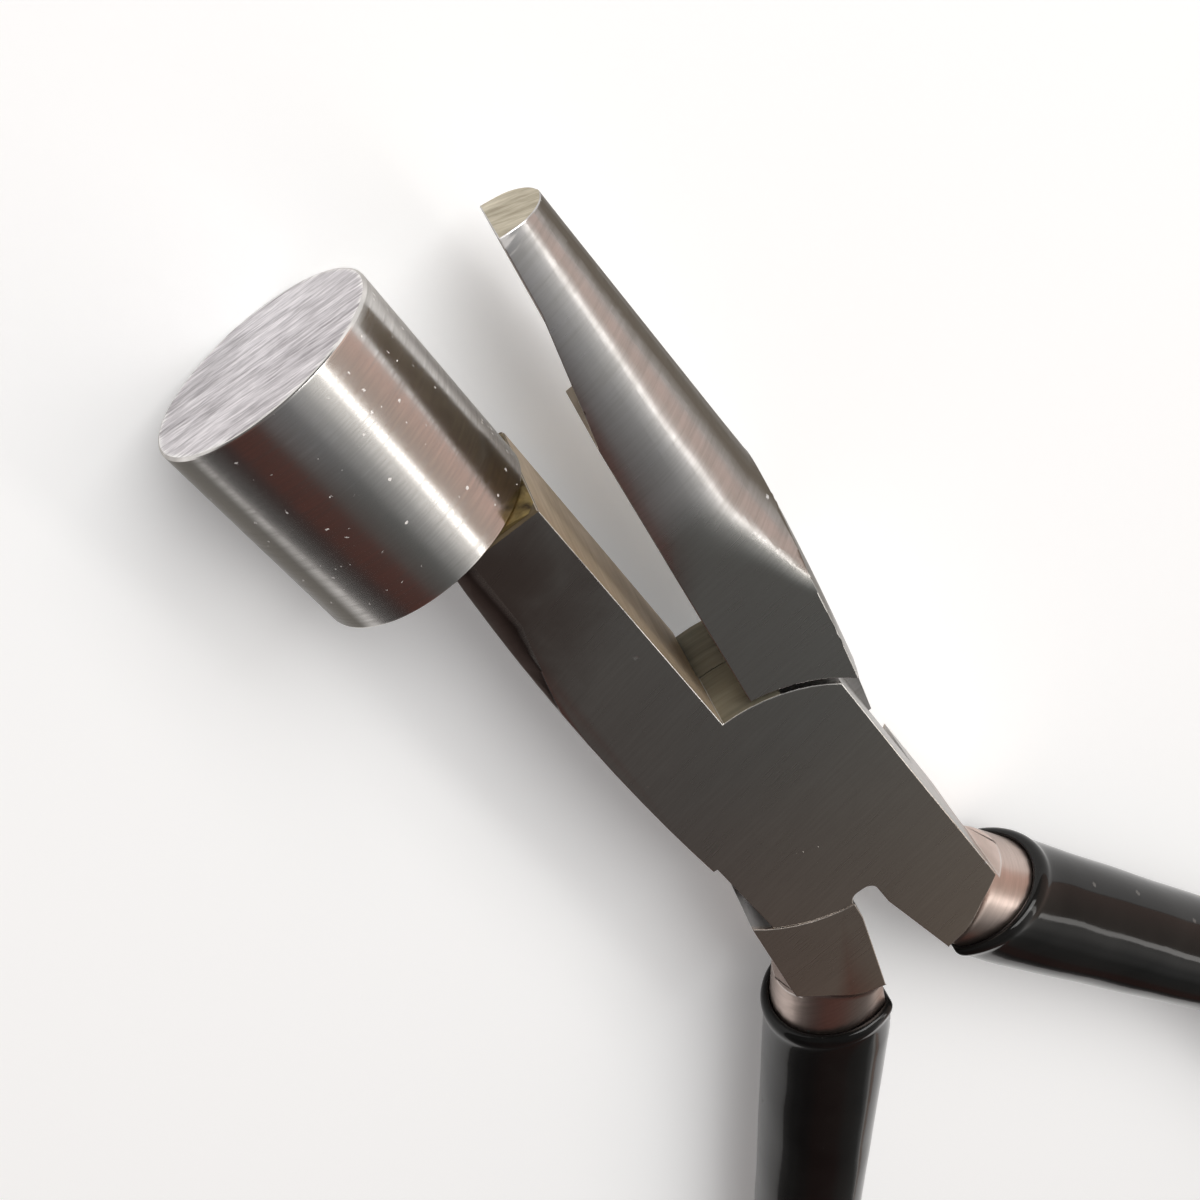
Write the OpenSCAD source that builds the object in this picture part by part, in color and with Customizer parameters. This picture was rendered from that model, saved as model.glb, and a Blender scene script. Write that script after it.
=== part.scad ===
// Looping pliers: a round mandrel on one arm, a flat-faced jaw on the other, a lap joint
// and dipped handles. Millimetres. The origin is on the pivot axis, where it meets the
// back flat of the joint. +Y runs to the jaw tips, +Z out through the front flat.

/* [Joint] */
// Thickness of the joint, from the back flat to the front flat
joint_t = 9.4; // [8.4:0.1:11]
// Radius of the round shoulders about the pivot
joint_r = 9.45; // [9:0.05:10.6]
// Half the width of the joint across its side flats
joint_half_w = 6.5; // [6:0.1:7]
// Radius of the pivot rivet's shank
rivet_r = 2.4; // [1.8:0.1:3]
// Radius of the rivet's sunk heads
rivet_head_r = 3.4; // [3.1:0.1:4]
// Depth of the rivet's sunk heads
rivet_head_h = 1.1; // [0.8:0.1:1.6]
// Angle between the arms as the pliers lie
rest_open = 6.5; // [4:0.5:9]

/* [Mandrel] */
// Radius of the mandrel
mandrel_r = 6.5; // [5.5:0.1:7.5]
// Length of the mandrel
mandrel_len = 12.8; // [10:0.1:18]
// Distance from the pivot to the mandrel's foot
mandrel_y = 28.55; // [26:0.05:32]
// Chamfer round both ends of the mandrel
mandrel_chamfer = 0.15; // [0.1:0.05:0.4]
// Thickness of the braze between the arm and the mandrel
braze_t = 0.25; // [0.15:0.05:0.5]
// How far the braze runs out over the ledge beside the mandrel
braze_run = 0.9; // [0.4:0.05:1.2]

/* [Jaws] */
// Distance from the pivot to the flat jaw's tip
jaw_tip_y = 40.2; // [37:0.1:44]
// Distance from the pivot plane to the mandrel arm's inner face
mandrel_face_gap = 0.3; // [0.2:0.05:0.6]
// Distance from the pivot plane to the flat jaw's inner face below its step
jaw_face_gap = 0.65; // [0.5:0.05:1]
// Depth of the step that faces the mandrel
jaw_step = 0.85; // [0.6:0.05:1.2]
// Length over which the step runs out along the front edge of the jaw
step_run_out = 7; // [5:0.5:9]
// How much further the stepped face stands back at the tip
jaw_face_taper = 0.25; // [0:0.05:0.5]
// Radius of the half-round flat jaw at its tip
jaw_tip_r = 2.7; // [2.2:0.1:3.2]
// Growth of that radius for each millimetre away from the tip
jaw_taper = 0.116; // [0.1:0.002:0.13]
// Distance from the pivot at which the flat jaw's even taper ends
jaw_cone_y = 21.5; // [20.5:0.5:22.5]
// Lean of the half-round's centre line, degrees
jaw_lean = 2.4; // [1.5:0.1:3]
// Reach of the jaws' crowned sides from the pivot plane
side_reach = 7.6; // [7.3:0.1:8]
// Radius of the crown across the jaws' sides
side_crown_r = 18; // [14:1:26]
// Radius of the flat jaw's side seen from the front
flat_jaw_sweep_r = 206; // [150:1:300]
// Distance from the pivot at which the flat jaw is widest
flat_jaw_wide_y = 17; // [15:0.5:19]
// Radius of the mandrel jaw's side seen from the front
mandrel_jaw_sweep_r = 160; // [130:1:250]
// Distance from the pivot at which the mandrel jaw is widest
mandrel_jaw_wide_y = 8; // [6:0.5:12]
// Radius of the mandrel jaw's rounded side at its square end
mandrel_jaw_end_r = 5.35; // [5.1:0.05:5.5]

/* [Handles] */
// Half the width across the handles where they leave the joint
handle_half_w = 7; // [6.8:0.1:7.3]
// Clearance of each handle's inner edge from the pivot plane
handle_gap = 0.35; // [0.25:0.05:0.6]
// Distance from the pivot to the middle of the necks, where the grips begin
collar_y = 20.7; // [19:0.1:24]
// Distance from the pivot plane to the middle of a neck
collar_x = 4.6; // [4.2:0.1:5]
// Angle at which the handles leave the joint
splay = 27; // [22:0.5:30]
// Radius of the round neck that enters the grip
neck_r = 4.3; // [4:0.05:4.6]
// Radius of the blend between the neck and the joint
neck_blend_r = 1.6; // [1.2:0.1:2.4]
// Length of round neck above its middle, before the blend begins
neck_upper_len = 1.9; // [1.4:0.1:2.4]
// Length of round neck below its middle, inside the grip
neck_lower_len = 5; // [4:0.5:7]
// Radius of the steel core inside the grip
core_r = 3.3; // [2.6:0.1:3.6]
// Length of the straight stretch below the collar
upper_len = 24; // [18:1:32]
// Radius of the handles' bow
bow_r = 75; // [60:1:110]
// Angle through which the handles bow back in
bow_turn = 31; // [24:1:34]
// Length of the straight stretch at the ends of the handles
lower_len = 22; // [12:1:34]

/* [Grips] */
// Distance from the pivot to the mandrel arm's dip line
mandrel_arm_dip_y = 20.6; // [19.5:0.1:22]
// Distance from the pivot to the other arm's dip line
flat_jaw_arm_dip_y = 21.2; // [19.5:0.1:22]
// Tilt of the other arm's dip line
flat_jaw_arm_dip_tilt = 10; // [0:1:14]
// Radius of the grip just below its lip
grip_top_r = 4.75; // [4.65:0.05:5]
// Radius of the grip along the bow
grip_mid_r = 4.35; // [4.1:0.05:5]
// Radius of the grip at its round end
grip_end_r = 4.6; // [4.3:0.05:5.2]
// Thickness of the vinyl where it lies on the inner edge of the neck
grip_side_wall = 0.3; // [0.25:0.05:0.6]
// How far the lip stands out from the grip
lip_h = 0.14; // [0.1:0.02:0.3]
// Width of the lip along the handle
lip_w = 0.9; // [0.7:0.1:1.2]
// Thickness of the grip beyond the end of the steel core
grip_end_wall = 3; // [2:0.5:4]

/* [Fits] */
// Clearance between the two halves of the lap joint
lap_gap = 0.06; // [0.04:0.01:0.12]
// Clearance round the shoulders of the lap joint
shoulder_gap = 0.38; // [0.2:0.02:0.5]
// Clearance round the heels of the lap joint, towards the handles
heel_gap = 0.08; // [0.06:0.02:0.2]
// Radial running clearance of the rivet in the flat jaw arm
rivet_gap = 0.04; // [0.02:0.01:0.08]
// How much thinner the bow is than the straight stretches that lap over its ends
bow_step = 0.05; // [0.03:0.01:0.1]

/* [Hidden] */
$fn = 96;
half_t = joint_t / 2;
far = 60;
// The mandrel's side lies on the pivot plane, and the arm ends one layer of braze below it
mandrel_x = -mandrel_r;
arm_end_y = mandrel_y - braze_t;
// The neck's middle, and the end of the straight stretch, on the mandrel arm's handle
collar = [collar_x, -collar_y];
along = [sin(splay), -cos(splay)];
bow_start = collar + upper_len * along;
bow_centre = bow_start - bow_r * [cos(splay), sin(splay)];
// How far each straight stretch laps over the bow
bow_lap = 1;
// Plan of the handle's inner edge: straight down from the joint, then easing outwards
edge_turn_y = -11.4;
edge_bend = [handle_gap + 1.1, -18.7];
edge_slope = 0.217;
// Plan heights between which the handle's outer side is flat
side_flat_rise = 2.7;
side_flat_end_y = side_flat_rise - collar_y;
side_flat_top_y = -14;
side_flat_slope = 2;
neck_blend_turn = 68;
// Distance from the pivot plane to the stepped face at the flat jaw's tip
jaw_tip_x = jaw_face_gap + jaw_step + jaw_face_taper;
// How far below its taper the flat jaw flares, and by how much, at two stations
jaw_flare = [[6, 1.25], [24, 7]];
// Centre line of the mandrel jaw's rounded side, and its radius at three stations
mandrel_jaw_axis_x = -2;
mandrel_jaw_round = [[-4, 12], [15.6, 6.9], [23, 5.55]];
// Plan sizes of the slot between the handles
slot_top_y = -(joint_r - 0.5);
slot_corner_r = 0.7;
slot_half_w = 1.5;
// Radius of the joint's heels, which nearly touch the other arm's shoulders
heel_r = joint_r + shoulder_gap - heel_gap;
steel = [0.62, 0.60, 0.58];
bright_steel = [0.75, 0.73, 0.71];
braze_tan = [0.66, 0.55, 0.36];
vinyl_black = [0.05, 0.05, 0.05];

// Places a child modelled about the joint's middle plane
module lift() {
    translate([0, 0, half_t]) children();
}

// Turns a child about the pivot by the angle at which the pliers lie open
module opened() {
    rotate([0, 0, -rest_open]) children();
}

// Turns a child from the mandrel arm's handle to the other arm's handle
module swap_side() {
    rotate([0, 180, 0]) children();
}

// A plan outline through the whole thickness of the joint
module slab(points) {
    translate([0, 0, -half_t]) linear_extrude(joint_t) polygon(points);
}

// A revolve about a line of the middle plane: its profile is [distance, radius] points
module revolve_along(start, heading, profile) {
    translate([start[0], start[1], 0]) rotate([0, 0, heading]) rotate([-90, 0, 0])
        rotate_extrude() polygon([for (p = profile) [p[1], p[0]]]);
}

// Crowned outer side of a jaw, bowed in plan as well as across its thickness
module crowned_side(sweep_r, wide_y) {
    translate([side_reach - sweep_r, wide_y, 0])
        rotate_extrude($fn = 360) translate([sweep_r - side_crown_r, 0]) circle(side_crown_r);
}

// The joint's disc between its side flats, with the slot that parts the handles
module joint_plate() {
    difference() {
        intersection() {
            cylinder(h = joint_t, r = heel_r, center = true);
            slab([[-joint_half_w, -joint_r], [-joint_half_w, joint_r],
                  [joint_half_w, joint_r], [handle_half_w, -2 * joint_r]]);
            union() {
                cylinder(h = joint_t, r = joint_r, center = true);
                translate([-far, -far, -half_t]) cube([2 * far, far, joint_t]);
            }
        }
        slot();
    }
}

// Square slot with rounded inner corners, open towards the handles
module slot() {
    translate([-slot_half_w + slot_corner_r, slot_top_y - far, -joint_t])
        cube([slot_half_w + handle_gap - 2 * slot_corner_r, far, 2 * joint_t]);
    translate([-slot_half_w, slot_top_y - slot_corner_r - far, -joint_t])
        cube([slot_half_w + handle_gap, far, 2 * joint_t]);
    for (x = [-slot_half_w + slot_corner_r, handle_gap - slot_corner_r])
        translate([x, slot_top_y - slot_corner_r, -joint_t])
            cylinder(h = 2 * joint_t, r = slot_corner_r);
}

// Plan distance of the handle's inner edge from the pivot plane, below its bend
function inner_edge_x(y) = edge_bend[0] + edge_slope * (edge_bend[1] - y);

// Flat part of the handle, ground round where it becomes the neck
module handle_root() {
    low_y = -collar_y - 2 * neck_lower_len;
    intersection() {
        slab([[handle_gap, 0], [handle_gap, edge_turn_y], edge_bend,
              [inner_edge_x(low_y), low_y], [far, low_y],
              [far, side_flat_end_y - side_flat_slope],
              [handle_half_w, side_flat_end_y], [handle_half_w, side_flat_top_y],
              [joint_half_w + 0.15, 0]]);
        revolve_along(collar, 180 + splay, neck_profile());
    }
}

// Neck: a cylinder that blends into a steep cone towards the joint
function neck_profile() = let(
    turn = neck_blend_turn,
    cone_reach = 2 * joint_r,
    blend_end = -neck_upper_len - neck_blend_r * sin(turn),
    blend_end_r = neck_r + 0.05 + neck_blend_r * (1 - cos(turn))) concat(
    [[neck_lower_len, 0], [neck_lower_len, neck_r]],
    [for (a = [0:4:turn])
        [-neck_upper_len - neck_blend_r * sin(a), neck_r + 0.05 + neck_blend_r * (1 - cos(a))]],
    [[blend_end - cone_reach, blend_end_r + cone_reach * tan(turn)],
     [blend_end - cone_reach, 0]]);

// Steel core of the handle: straight, bowed, and straight again
module core() {
    handle_run(upper_len + bow_lap, core_r, core_r);
    handle_bow(core_r - bow_step);
    handle_end_run(lower_len, core_r, core_r);
}

module handle_run(length, r_top, r_low) {
    handle_top_place() cylinder(h = length, r1 = r_top, r2 = r_low);
}

// Places a child at the neck's middle, with its Z along the handle
module handle_top_place() {
    translate([collar[0], collar[1], 0]) rotate([0, 0, 180 + splay]) rotate([-90, 0, 0])
        children();
}

module handle_bow(r) {
    translate([bow_centre[0], bow_centre[1], 0]) rotate([0, 0, splay - bow_turn])
        rotate_extrude(angle = bow_turn, $fn = 240) translate([bow_r, 0]) circle(r, $fn = 48);
}

module handle_end_run(length, r_top, r_low) {
    handle_end_place() translate([0, 0, -bow_lap])
        cylinder(h = length + bow_lap, r1 = r_top, r2 = r_low);
}

// Places a child at the end of the bow, with its Z along the handle
module handle_end_place() {
    translate([bow_centre[0], bow_centre[1], 0]) rotate([0, 0, splay - bow_turn])
        translate([bow_r, 0, 0]) rotate([90, 0, 0]) children();
}

// Steel of one handle: flat root, round neck and core
module handle_steel() {
    handle_root();
    core();
}

// Pocket in one arm that takes the other arm's half of the joint
module lap_pocket() {
    translate([0, 0, -joint_t]) cylinder(h = joint_t + lap_gap / 2, r = joint_r + shoulder_gap);
}

// Rivet hole through the joint with both sunk heads, grown by a clearance
module rivet_space(gap) {
    cylinder(h = 2 * joint_t, r = rivet_r + gap, center = true);
    for (side = [0, 180]) rotate([side, 0, 0]) translate([0, 0, half_t - rivet_head_h])
        cylinder(h = rivet_head_h, r1 = rivet_r + gap, r2 = rivet_head_r + gap);
}

// Jaw that carries the mandrel, cut off square and ground round on its outer side
module mandrel_jaw() {
    intersection() {
        slab([[-mandrel_face_gap, 0], [-mandrel_face_gap, arm_end_y],
              [-far, arm_end_y], [-far, 3], [-joint_half_w, 0]]);
        mirror([1, 0, 0]) crowned_side(mandrel_jaw_sweep_r, mandrel_jaw_wide_y);
        revolve_along([mandrel_jaw_axis_x, 0], 0, concat(
            [[mandrel_jaw_round[0][0], 0]], mandrel_jaw_round,
            [[arm_end_y + 1, mandrel_jaw_end_r], [arm_end_y + 1, 0]]));
    }
}

// Half-round flat jaw that tapers to its tip, stepped back opposite the mandrel
module flat_jaw() {
    tip_centre = [jaw_tip_x + 0.1, jaw_tip_y];
    cone_len = jaw_tip_y - jaw_cone_y;
    cone_r = jaw_tip_r + jaw_taper * cone_len;
    difference() {
        intersection() {
            slab([[jaw_face_gap, 0], [jaw_face_gap, jaw_tip_y], [far, jaw_tip_y],
                  [far, 3], [joint_half_w, 0]]);
            crowned_side(flat_jaw_sweep_r, flat_jaw_wide_y);
            revolve_along(tip_centre, 180 + jaw_lean,
                concat([[-2, 0], [-2, jaw_tip_r - 2 * jaw_taper], [cone_len, cone_r]],
                    [for (p = jaw_flare) [cone_len + p[0], cone_r + p[1]]],
                    [[cone_len + jaw_flare[1][0], 0]]));
        }
        step_relief();
    }
}

// Relief opposite the mandrel: its full depth at the back, running out along the front edge
module step_relief() {
    half_z = jaw_tip_r + jaw_taper * (jaw_tip_y - mandrel_y);
    intersection() {
        translate([0, 0, -far]) linear_extrude(2 * far)
            polygon([[-far, mandrel_y], [jaw_face_gap + jaw_step, mandrel_y],
                     [jaw_tip_x, jaw_tip_y], [jaw_tip_x, 2 * jaw_tip_y], [-far, 2 * jaw_tip_y]]);
        translate([jaw_face_gap, mandrel_y, half_z])
            rotate([0, -atan(jaw_step / (2 * half_z)), -atan(jaw_step / step_run_out)])
                translate([-2 * far, -2 * far, -2 * far]) cube([2 * far, 4 * far, 4 * far]);
    }
}

// Everything that lies below the dip line, down to a depth
module below_dip(dip_y, tilt, depth) {
    translate([joint_half_w, -dip_y, 0]) rotate([0, 0, tilt])
        translate([-far, -depth, -far]) cube([2 * far, depth, 2 * far]);
}

// Top of a grip: a tapering sleeve round the neck, level with the dip line
module grip_top(r_top, r_low, side_wall, dip_y, tilt, depth) {
    low_y = -collar_y - 2 * upper_len;
    rise = 5;
    intersection() {
        handle_top_place() translate([0, 0, -rise])
            cylinder(h = upper_len + bow_lap + rise, r1 = r_top, r2 = r_low);
        below_dip(dip_y, tilt, depth);
        translate([0, 0, -far]) linear_extrude(2 * far)
            polygon([[inner_edge_x(0) - side_wall, 0], [inner_edge_x(low_y) - side_wall, low_y],
                     [far, low_y], [far, 0]]);
    }
}

// Outside of a grip: lip, tapering sleeve, bow and round end
module grip_outside(dip_y, tilt) {
    grip_top(grip_top_r, grip_mid_r, grip_side_wall, dip_y, tilt, far);
    grip_top(grip_top_r + lip_h, grip_top_r + lip_h, grip_side_wall + lip_h, dip_y, tilt, lip_w);
    handle_bow(grip_mid_r - bow_step);
    handle_end_run(lower_len + grip_end_wall - grip_end_r, grip_mid_r, grip_end_r);
    handle_end_place() translate([0, 0, lower_len + grip_end_wall - grip_end_r])
        sphere(grip_end_r);
}

// Dipped grip: the outside, less the steel that it covers
module grip(dip_y, tilt) {
    difference() {
        grip_outside(dip_y, tilt);
        handle_steel();
    }
}

module mandrel_arm() {
    color(steel) lift() difference() {
        union() {
            joint_plate();
            mandrel_jaw();
            handle_steel();
        }
        lap_pocket();
        rivet_space(0);
    }
}

module mandrel() {
    color(bright_steel) lift()
        revolve_along([mandrel_x, mandrel_y], 0,
            [[0, 0], [0, mandrel_r - mandrel_chamfer], [mandrel_chamfer, mandrel_r],
             [mandrel_len - mandrel_chamfer, mandrel_r],
             [mandrel_len, mandrel_r - mandrel_chamfer], [mandrel_len, 0]]);
}

// Layer of braze under the mandrel, running out over the ledge beside it
module braze_seam() {
    color(braze_tan) lift() intersection() {
        revolve_along([mandrel_x, arm_end_y], 0,
            [[0, 0], [0, mandrel_r + braze_run], [braze_t, mandrel_r - mandrel_chamfer],
             [braze_t, 0]]);
        translate([-far - mandrel_face_gap, arm_end_y - braze_t, -half_t])
            cube([far, 3 * braze_t, joint_t]);
        revolve_along([mandrel_jaw_axis_x, arm_end_y - braze_t], 0,
            [[0, 0], [0, mandrel_jaw_end_r], [3 * braze_t, mandrel_jaw_end_r],
             [3 * braze_t, 0]]);
    }
}

module pivot_rivet() {
    color(steel) lift() intersection() {
        rivet_space(0);
        cylinder(h = joint_t, r = rivet_head_r + 1, center = true);
    }
}

module flat_jaw_arm() {
    color(steel) lift() opened() difference() {
        union() {
            swap_side() joint_plate();
            swap_side() handle_steel();
            flat_jaw();
        }
        swap_side() lap_pocket();
        rivet_space(rivet_gap);
    }
}

module mandrel_arm_grip() {
    color(vinyl_black) lift() grip(mandrel_arm_dip_y, 0);
}

module flat_jaw_arm_grip() {
    color(vinyl_black) lift() opened() swap_side()
        grip(flat_jaw_arm_dip_y, flat_jaw_arm_dip_tilt);
}

mandrel_arm();
mandrel();
braze_seam();
pivot_rivet();
flat_jaw_arm();
mandrel_arm_grip();
flat_jaw_arm_grip();
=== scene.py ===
import math

import bmesh
import bpy
from mathutils import Matrix, Vector, noise


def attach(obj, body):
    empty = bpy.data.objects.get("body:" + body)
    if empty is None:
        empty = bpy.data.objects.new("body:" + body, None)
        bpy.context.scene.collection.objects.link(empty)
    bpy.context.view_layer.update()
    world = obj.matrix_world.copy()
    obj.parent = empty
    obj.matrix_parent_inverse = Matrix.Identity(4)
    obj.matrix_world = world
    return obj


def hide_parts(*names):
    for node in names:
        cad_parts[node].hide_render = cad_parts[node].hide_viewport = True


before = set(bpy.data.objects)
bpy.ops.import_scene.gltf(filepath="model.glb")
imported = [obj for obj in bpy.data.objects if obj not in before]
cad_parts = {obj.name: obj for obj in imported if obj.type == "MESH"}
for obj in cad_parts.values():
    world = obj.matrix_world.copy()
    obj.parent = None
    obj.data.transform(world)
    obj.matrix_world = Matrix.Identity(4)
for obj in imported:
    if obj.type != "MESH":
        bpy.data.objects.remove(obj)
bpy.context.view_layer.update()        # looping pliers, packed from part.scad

mm = 0.001
scene = bpy.context.scene
scene.view_settings.view_transform = "Standard"

# the joint's middle plane and the angle at which the second arm lies open
layout = {
    "middleHeight": 4.7 * mm,
    "restOpen": math.radians(6.5),
}


# helpers for objects and meshes

def linkObject(name, data):
    made = bpy.data.objects.new(name, data)
    scene.collection.objects.link(made)
    return made


def meshFrom(build, name, materials=(), smoothBelow=math.radians(14)):
    # flat faces stay flat, and round ones are shaded smooth
    for face in build.faces:
        face.smooth = True
    for edge in build.edges:
        edge.smooth = len(edge.link_faces) == 2 and edge.calc_face_angle(0.0) < smoothBelow
    mesh = bpy.data.meshes.new(name)
    build.to_mesh(mesh)
    build.free()
    for material in materials:
        mesh.materials.append(material)
    return linkObject(name, mesh)


def smoothStep(value, low, high):
    share = min(max((value - low) / (high - low), 0.0), 1.0)
    return share * share * (3 - 2 * share)


def valueAlong(stations, distance):
    # value at a distance, straight between its stations
    for (before, low), (after, high) in zip(stations, stations[1:]):
        if distance <= after:
            share = max(distance - before, 0.0) / (after - before)
            return low + (high - low) * share
    return stations[-1][1]


# helpers for shader nodes

def put(tree, kind, inputs=None, **settings):
    # adds a node, sets its options, then fills or links its inputs
    made = tree.nodes.new(kind)
    for key, value in settings.items():
        setattr(made, key, value)
    for key, value in (inputs or {}).items():
        if isinstance(value, bpy.types.NodeSocket):
            tree.links.new(value, made.inputs[key])
        else:
            made.inputs[key].default_value = value
    return made


def sums(tree, operation, first, second=0.0, clamp=False):
    return put(tree, "ShaderNodeMath", {0: first, 1: second},
               operation=operation, use_clamp=clamp).outputs[0]


def vectorSums(tree, operation, first, second):
    return put(tree, "ShaderNodeVectorMath", {0: first, 1: second}, operation=operation)


def remap(tree, value, fromLow, fromHigh, toLow=0.0, toHigh=1.0, smooth=False):
    made = put(tree, "ShaderNodeMapRange",
               {"Value": value, "From Min": fromLow, "From Max": fromHigh,
                "To Min": toLow, "To Max": toHigh}, clamp=True,
               interpolation_type="SMOOTHSTEP" if smooth else "LINEAR")
    return made.outputs["Result"]


def mixColour(tree, factor, first, second, blend="MIX"):
    made = put(tree, "ShaderNodeMix", {0: factor, 6: first, 7: second},
               data_type="RGBA", blend_type=blend, clamp_factor=True)
    return made.outputs[2]


def blendTones(tree, *parts):
    # adds tones by their shares and keeps the total between 0 and 1
    total = 0.0
    for tone, share in parts:
        total = sums(tree, "ADD", total, sums(tree, "MULTIPLY", tone, share), True)
    return total


def turnedCoordinates(tree, coordinates, turn):
    return put(tree, "ShaderNodeMapping", {"Vector": coordinates, "Rotation": turn}).outputs[0]


def raggedDistance(tree, coordinates, point, tone, raggedness):
    # distance from a point, pushed in and out by a tone
    away = vectorSums(tree, "DISTANCE", coordinates, point).outputs["Value"]
    return sums(tree, "ADD", away, remap(tree, tone, 0.0, 1.0, *raggedness))


def newMaterial(name):
    # a material, its empty tree, and the coordinates of the piece that wears it
    made = bpy.data.materials.new(name)
    made.use_nodes = True
    tree = made.node_tree
    tree.nodes.clear()
    return made, tree, put(tree, "ShaderNodeTexCoord").outputs["Object"]


def finishMaterial(tree, relief, height, sockets):
    strength, distance = relief
    bump = put(tree, "ShaderNodeBump", {"Strength": strength, "Distance": distance,
                                        "Height": height})
    shader = put(tree, "ShaderNodeBsdfPrincipled", {**sockets, "Normal": bump.outputs[0]})
    put(tree, "ShaderNodeOutputMaterial", {"Surface": shader.outputs[0]})


def newGroup(name, inputs, outputs):
    tree = bpy.data.node_groups.new(name, "ShaderNodeTree")
    for label, kind, value in inputs:
        socket = tree.interface.new_socket(name=label, in_out="INPUT", socket_type=kind)
        if value is not None:
            socket.default_value = value
    for label, kind in outputs:
        tree.interface.new_socket(name=label, in_out="OUTPUT", socket_type=kind)
    return tree, put(tree, "NodeGroupInput"), put(tree, "NodeGroupOutput")


def placeGroup(tree, group, coordinates, inputs):
    return put(tree, "ShaderNodeGroup", {"Coordinates": coordinates, **inputs}, node_tree=group)


# camera, at the place and turn that were fitted to the photograph

cameraSettings = {
    "place": (9.0429 * mm, 63.7376 * mm, 71.1094 * mm),
    "right": (0.80200868, -0.54534756, 0.24367627),
    "up": (0.58253144, 0.62392285, -0.52093896),
    "back": (0.1320576, 0.55974665, 0.81807364),
    "lens": 42.8668,
    "sensor": 36.0,
    "near": 1 * mm,
    "far": 20.0,
}


def buildCamera(spec):
    data = bpy.data.cameras.new("photoCamera")
    data.sensor_width = spec["sensor"]
    data.lens = spec["lens"]
    data.clip_start = spec["near"]
    data.clip_end = spec["far"]
    camera = linkObject("photoCamera", data)
    turn = Matrix((spec["right"], spec["up"], spec["back"])).transposed()
    camera.location = spec["place"]
    camera.rotation_euler = turn.to_euler()
    scene.camera = camera


# floor, lamps and world

stageSettings = {
    "floorHeight": -1.8 * mm,
    "floorRadius": 4.0,
    "floorSegments": 96,
    "floorColour": (0.915, 0.925, 0.93, 1),
    "floorShade": 0.985,         # its faint darker clouds
    "cloudScale": 14.0,
    "whiteness": 0.20,
    "aim": Vector((4 * mm, 8 * mm, 5 * mm)),
    "steep": 0.7,                # lamps this near the jaws' direction are laid out upright
}

lampSettings = {
    "keyStrip": {"towards": (0.695, -0.08, 0.715), "distance": 0.62, "size": (0.065, 1.20),
                 "radiance": 3.2, "colour": (1.0, 0.98, 0.95)},
    "frontSoftbox": {"towards": (0.52, 0.50, 0.69), "distance": 0.70, "size": (0.46, 0.46),
                     "radiance": 5.8, "colour": (1.0, 0.99, 0.98)},
}

# tone of the surroundings by the angle about the jaws' direction, in degrees from overhead:
# the dark wall on the left, the ceiling, and the warm wall on the right
worldSettings = {
    "tones": [
        (-90, (0.22, 0.21, 0.205)),
        (-76, (0.10, 0.095, 0.092)),
        (-62, (0.060, 0.044, 0.042)),
        (-48, (0.100, 0.046, 0.038)),
        (-30, (0.105, 0.052, 0.044)),
        (-15, (0.108, 0.098, 0.092)),
        (2, (0.128, 0.130, 0.126)),
        (18, (0.36, 0.36, 0.355)),
        (35, (0.88, 0.86, 0.83)),
        (54, (0.52, 0.42, 0.36)),
        (88, (0.70, 0.50, 0.43)),
    ],
    "overhead": (0.06, 0.058, 0.065, 1),
    "overheadRange": (0.885, 0.985),
    "front": (0.16, 0.155, 0.15, 1),
    "frontRange": (0.05, 0.6),
    "backdrop": (0.93, 0.935, 0.94, 1),    # as the camera sees it
}


def floorPaper(spec):
    material, tree, local = newMaterial("paleFloor")
    cloud = put(tree, "ShaderNodeTexNoise", {"Vector": local, "Scale": spec["cloudScale"],
                                             "Detail": 3.0})
    shaded = [level * spec["floorShade"] for level in spec["floorColour"][:3]]
    tone = mixColour(tree, cloud.outputs["Fac"], spec["floorColour"], (*shaded, 1))
    paper = put(tree, "ShaderNodeBsdfPrincipled",
                {"Base Color": tone, "Roughness": 0.9, "Specular IOR Level": 0.1})
    # the backdrop's whiteness, as the camera and polished steel see it
    ray = put(tree, "ShaderNodeLightPath").outputs
    seen = sums(tree, "ADD", ray["Is Camera Ray"], ray["Is Glossy Ray"])
    seen = sums(tree, "ADD", seen, ray["Is Transmission Ray"], True)
    strength = sums(tree, "MULTIPLY", seen, spec["whiteness"])
    glow = put(tree, "ShaderNodeEmission", {"Color": (1, 1, 1, 1), "Strength": strength})
    both = put(tree, "ShaderNodeAddShader", {0: paper.outputs[0], 1: glow.outputs[0]})
    put(tree, "ShaderNodeOutputMaterial", {"Surface": both.outputs[0]})
    return material


def buildFloor(spec):
    build = bmesh.new()
    bmesh.ops.create_circle(build, cap_ends=True, segments=spec["floorSegments"],
                            radius=spec["floorRadius"])
    bmesh.ops.translate(build, verts=build.verts, vec=(0, 0, spec["floorHeight"]))
    floor = meshFrom(build, "paleFloor", [floorPaper(spec)])


def buildLamp(name, spec, stage):
    data = bpy.data.lights.new(name, "AREA")
    data.shape = "RECTANGLE"
    width, length = spec["size"]
    data.size = width
    data.size_y = length
    data.energy = spec["radiance"] * math.pi * width * length
    data.color = spec["colour"]
    lamp = linkObject(name, data)
    outwards = Vector(spec["towards"]).normalized()
    lengthwise = Vector((0, 0, 1)) if abs(outwards.y) > stage["steep"] else Vector((0, 1, 0))
    lengthwise = (lengthwise - lengthwise.dot(outwards) * outwards).normalized()
    turn = Matrix((lengthwise.cross(outwards), lengthwise, outwards)).transposed()
    lamp.location = stage["aim"] + outwards * spec["distance"]
    lamp.rotation_euler = turn.to_euler()
    lamp.visible_camera = False


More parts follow.
